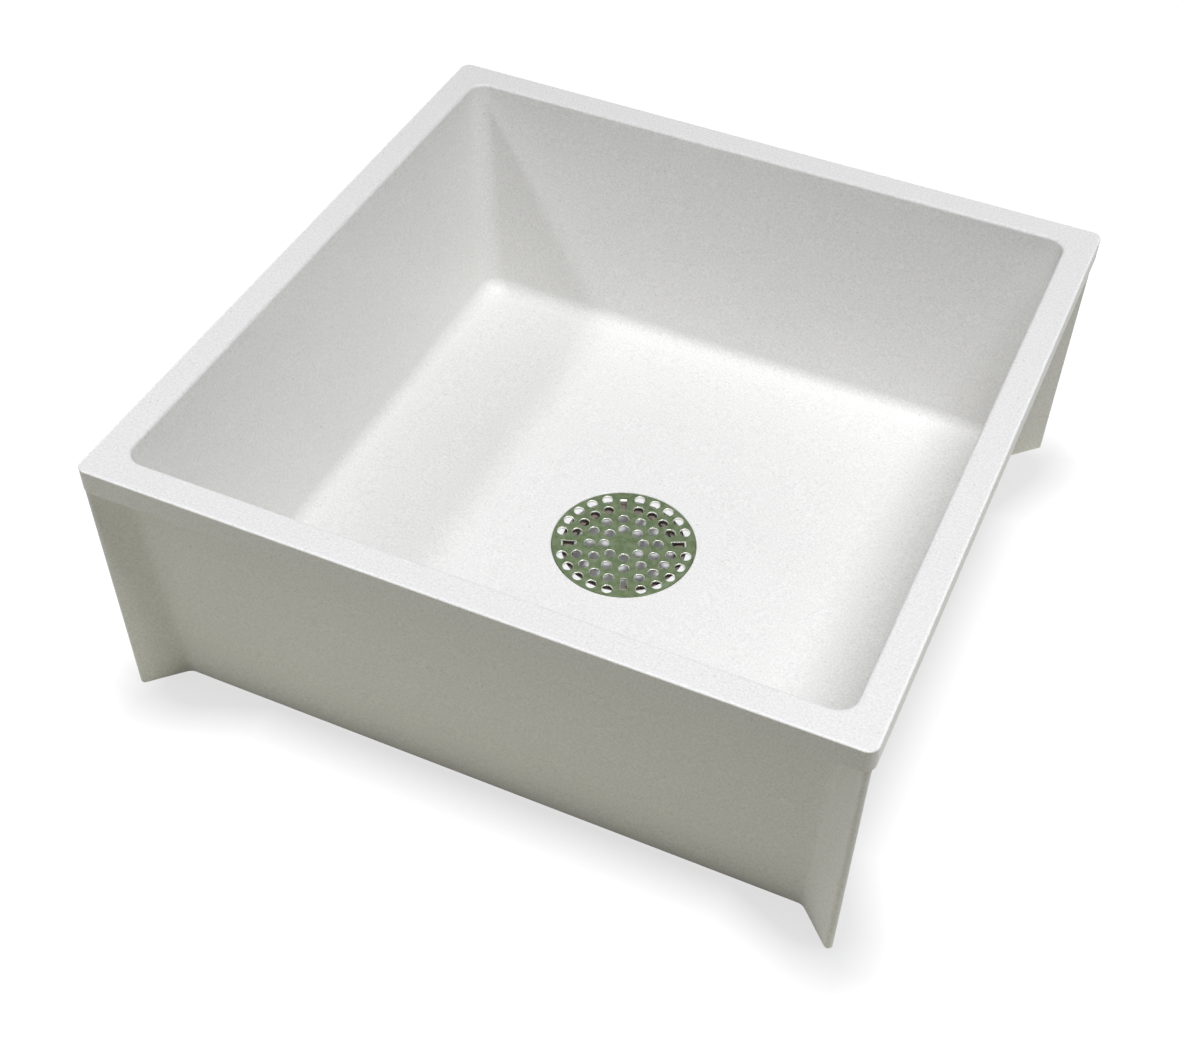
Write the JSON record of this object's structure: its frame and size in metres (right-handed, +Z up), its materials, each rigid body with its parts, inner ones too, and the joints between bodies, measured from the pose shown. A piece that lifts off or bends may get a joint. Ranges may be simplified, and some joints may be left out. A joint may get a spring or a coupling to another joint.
{
  "type": "mop service sink",
  "caption": "Square floor-standing mop basin with a turned-down rim, corner fins and a lift-out perforated strainer over a central drain.",
  "frame": {"origin": "centre of the base, on the ground", "axes": "+Z up, out of the open tub; +X and +Y square to the walls; the picture looks from -Y, a little from +X"},
  "size_m": [0.61, 0.61, 0.243],
  "materials": {
    "moulded_composite": "satin moulded fibreglass composite, white with a fine grey speckle",
    "strainer_steel": "satin stamped stainless steel with an olive cast",
    "drain_plastic": "white moulded drain fitting",
    "fastener_steel": "plain stainless steel",
    "seal_rubber": "matt brown-black rubber"
  },
  "bodies": {
    "sink": {"basin": "moulded_composite", "drain_body": "drain_plastic", "flange_gasket": "seal_rubber", "clamp_ring": "fastener_steel", "clamp_screw_1": "fastener_steel", "clamp_screw_2": "fastener_steel", "clamp_screw_3": "fastener_steel", "clamp_screw_4": "fastener_steel", "pipe_seal": "seal_rubber"},
    "strainer_plate": {"strainer": "strainer_steel"}
  },
  "joints": [
    {"name": "strainer_lift", "type": "slide", "parent": "sink", "child": "strainer_plate", "axis": [0, 0, 1], "range_m": [0, 0.26]}
  ]
}
